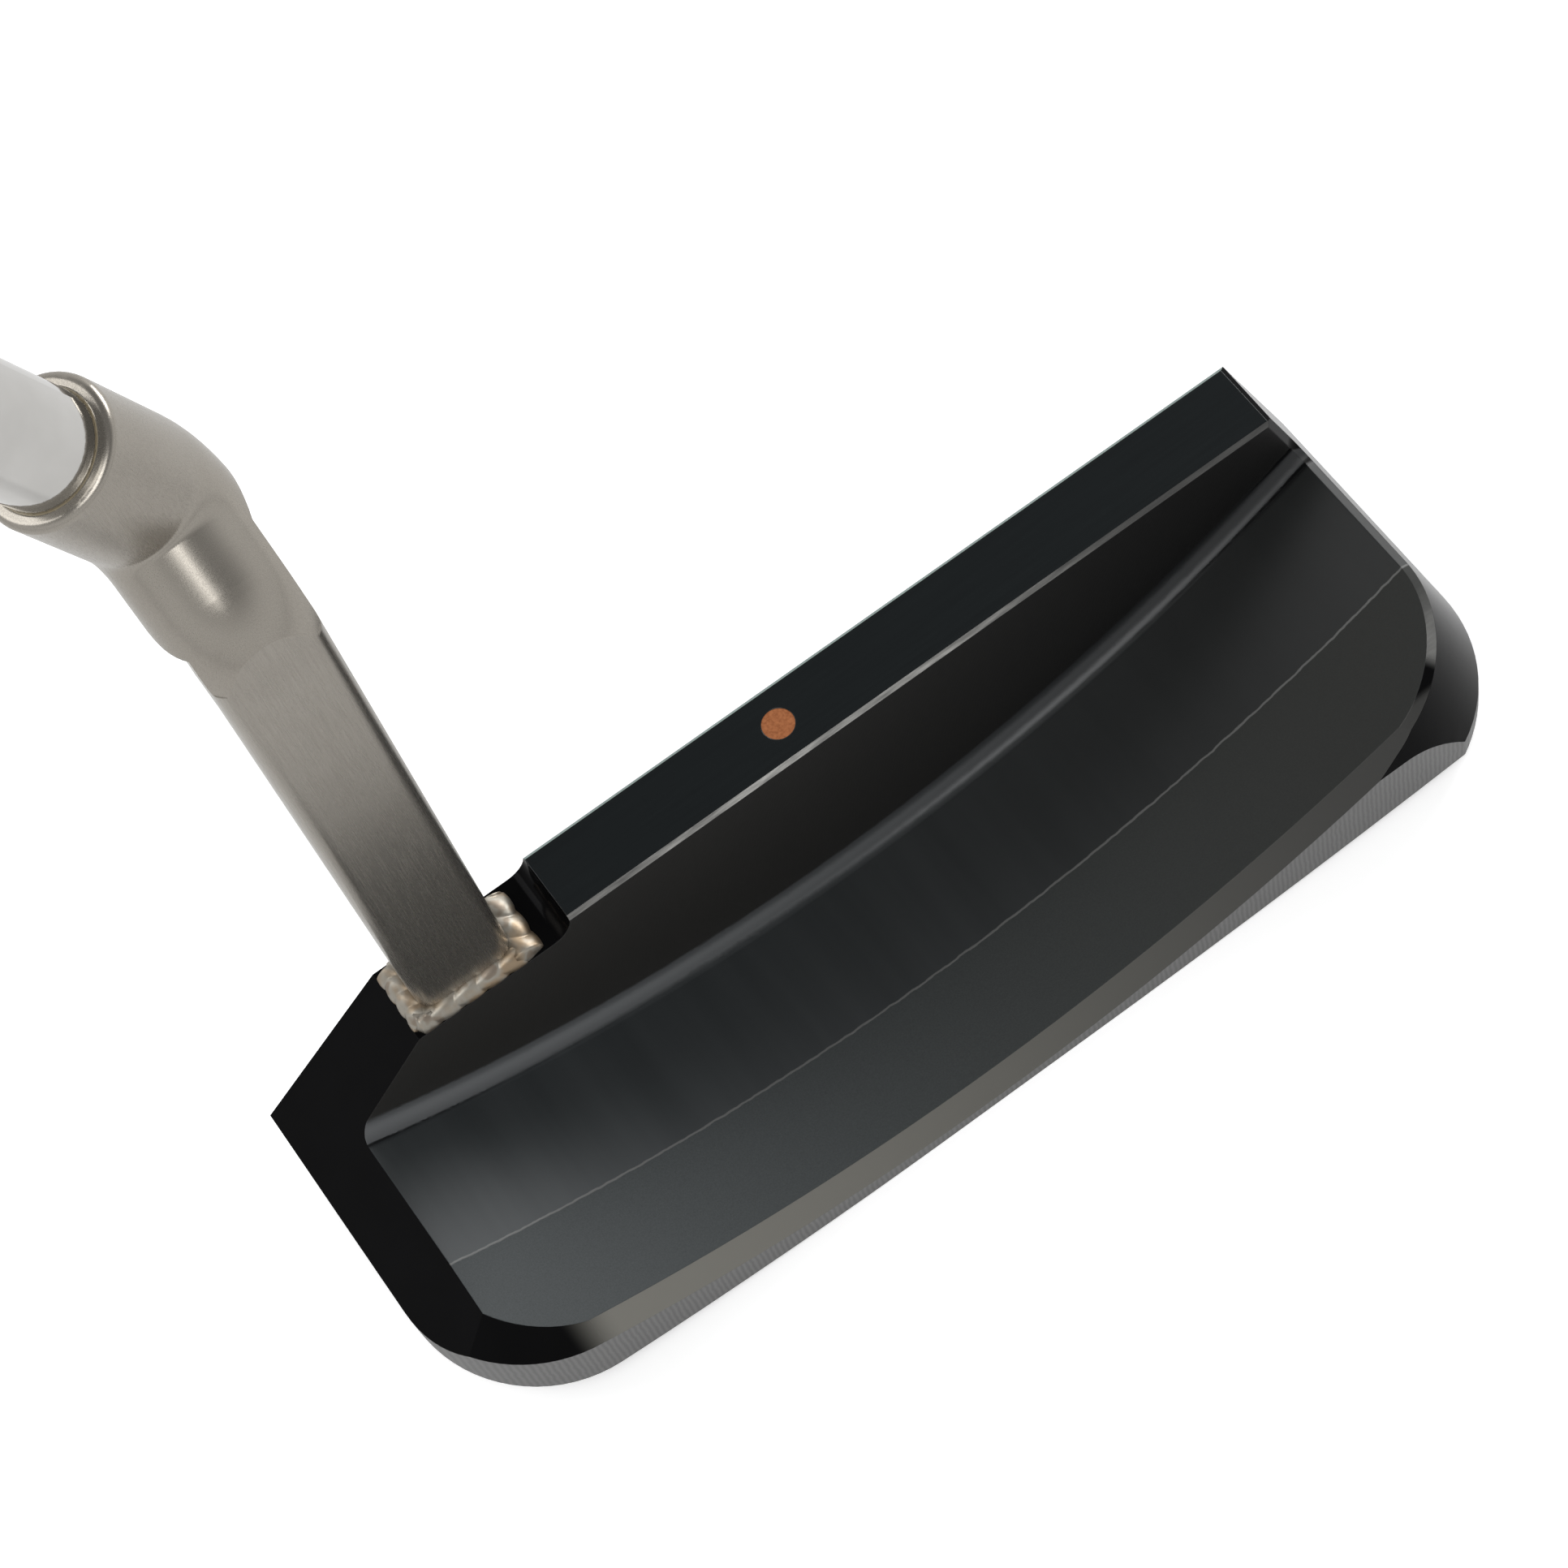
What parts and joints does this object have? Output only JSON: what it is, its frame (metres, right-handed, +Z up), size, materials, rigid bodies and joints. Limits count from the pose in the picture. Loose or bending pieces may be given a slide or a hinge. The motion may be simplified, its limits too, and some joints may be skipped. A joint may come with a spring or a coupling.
{
  "type": "golf putter",
  "caption": "Right-handed blade putter: scooped flange behind a thin wall, welded offset neck, round stepped shaft and flat-fronted grip.",
  "frame": {"origin": "on the ground at the middle of the sole's level land, straight below the sight dot", "axes": "+Z up, +Y out of the face towards the hole, +X towards the toe; the shaft leans to -X"},
  "size_m": [0.3791, 0.0593, 0.8153],
  "materials": {
    "black_steel": "black oxide over milled steel",
    "copper_paint": "satin paint fill",
    "satin_steel": "satin",
    "weld_steel": "heat tinted",
    "chrome_steel": "mirror",
    "epoxy": "cured adhesive",
    "tape": "double-sided masking tape",
    "grip_rubber": "matt, dimpled"
  },
  "bodies": {
    "root": {"head": "black_steel", "sight_dot": "copper_paint", "neck": "satin_steel", "weld_bead_heel": "weld_steel", "weld_bead_toe": "weld_steel", "weld_bead_back": "weld_steel", "weld_bead_front": "weld_steel", "shaft": "chrome_steel", "epoxy_bond": "epoxy", "grip_tape": "tape", "grip": "grip_rubber"}
  },
  "joints": []
}
